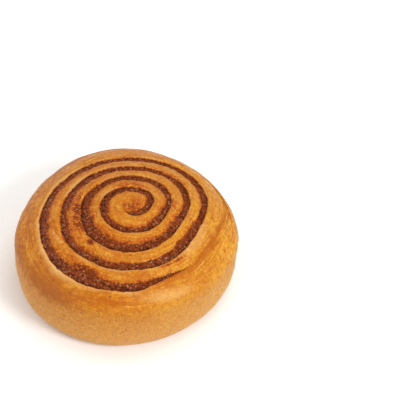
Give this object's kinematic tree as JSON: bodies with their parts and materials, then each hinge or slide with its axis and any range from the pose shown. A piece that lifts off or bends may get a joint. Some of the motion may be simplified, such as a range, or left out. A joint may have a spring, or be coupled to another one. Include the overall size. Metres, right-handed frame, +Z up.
{
  "type": "nut swirl bun",
  "caption": "Round domed yeast bun rolled into a swirl, with a dark nut filling showing between the turns of dough and a smooth baked side.",
  "frame": {"origin": "under the middle of the bun's outline, on the surface it rests on", "axes": "+Z up through the swirl, +X to the viewer's right and -Y towards the viewer, at the side where the filling runs out"},
  "size_m": [0.1076, 0.1138, 0.0447],
  "materials": {
    "baked_dough": "golden baked yeast dough, soft satin, finely pebbled on the side",
    "nut_paste": "grainy ground nut paste, moist, with small glints"
  },
  "bodies": {
    "root": {"dough": "baked_dough", "nut_filling": "nut_paste"}
  },
  "joints": []
}
